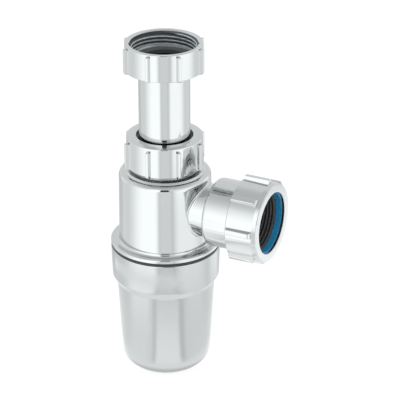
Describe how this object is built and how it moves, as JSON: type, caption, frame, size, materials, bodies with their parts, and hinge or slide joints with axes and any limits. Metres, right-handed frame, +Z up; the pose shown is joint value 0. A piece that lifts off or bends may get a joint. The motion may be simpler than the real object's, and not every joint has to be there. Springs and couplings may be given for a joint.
{
  "type": "bottle trap",
  "caption": "Chromed washbasin bottle trap: tapered bottle that unscrews from a drum body, telescopic inlet tube with ribbed nuts, and a side outlet with a compression nut.",
  "frame": {"origin": "centre of the bottle's flat base, on the axis of the bottle and inlet", "axes": "+Z up along the inlet, +X out along the outlet"},
  "size_m": [0.1086, 0.0694, 0.2214],
  "materials": {
    "chrome_plate": "mirror chrome plating on moulded plastic",
    "soft_chrome": "slightly softer chrome plating on moulded plastic",
    "black_rubber": "satin black rubber",
    "white_plastic": "plain white polypropylene",
    "black_plastic": "plain black nylon",
    "blue_plastic": "blue polypropylene"
  },
  "bodies": {
    "trap": {"trap_body": "chrome_plate", "dip_tube": "white_plastic", "gland_seal": "black_rubber", "outlet_seal": "black_rubber"},
    "inlet": {"inlet_tube": "chrome_plate", "inlet_washer": "black_rubber"},
    "inlet_nut": {"inlet_nut": "chrome_plate"},
    "gland_washer": {"gland_washer": "black_plastic"},
    "gland_nut": {"gland_nut": "chrome_plate"},
    "slip_ring": {"outlet_slip_ring": "blue_plastic"},
    "outlet_nut": {"outlet_nut": "chrome_plate"},
    "bottle_seal": {"bottle_seal": "black_rubber"},
    "bottle": {"bottle": "soft_chrome"}
  },
  "joints": [
    {"name": "tube_slide", "type": "slide", "parent": "trap", "child": "inlet", "axis": [0, 0, 1], "range_m": [-0.03, 0.03]},
    {"name": "inlet_nut_spin", "type": "hinge", "parent": "inlet", "child": "inlet_nut", "pos_m": [0, 0, 0.2127], "axis": [0, 0, 1], "continuous": true},
    {"name": "gland_washer_rise", "type": "slide", "parent": "trap", "child": "gland_washer", "axis": [0, 0, 1], "range_m": [0, 0.01155]},
    {"name": "gland_nut_turn", "type": "hinge", "parent": "gland_washer", "child": "gland_nut", "pos_m": [0, 0, 0.151], "axis": [0, 0, 1], "range_deg": [0, 1800]},
    {"name": "slip_ring_slide", "type": "slide", "parent": "trap", "child": "slip_ring", "axis": [1, 0, 0], "range_m": [0, 0.01155]},
    {"name": "outlet_nut_turn", "type": "hinge", "parent": "slip_ring", "child": "outlet_nut", "pos_m": [0.0637, 0, 0.115], "axis": [1, 0, 0], "range_deg": [0, 1800]},
    {"name": "bottle_fall", "type": "slide", "parent": "trap", "child": "bottle_seal", "axis": [0, 0, -1], "range_m": [0, 0.01201]},
    {"name": "bottle_turn", "type": "hinge", "parent": "bottle_seal", "child": "bottle", "pos_m": [0, 0, 0.06], "axis": [0, 0, -1], "range_deg": [0, 1080]}
  ],
  "couplings": [
    {"joint": "gland_washer_rise", "follows": "gland_nut_turn", "m_per_rad": 0.0003675},
    {"joint": "slip_ring_slide", "follows": "outlet_nut_turn", "m_per_rad": 0.0003675},
    {"joint": "bottle_fall", "follows": "bottle_turn", "m_per_rad": 0.00063662}
  ]
}
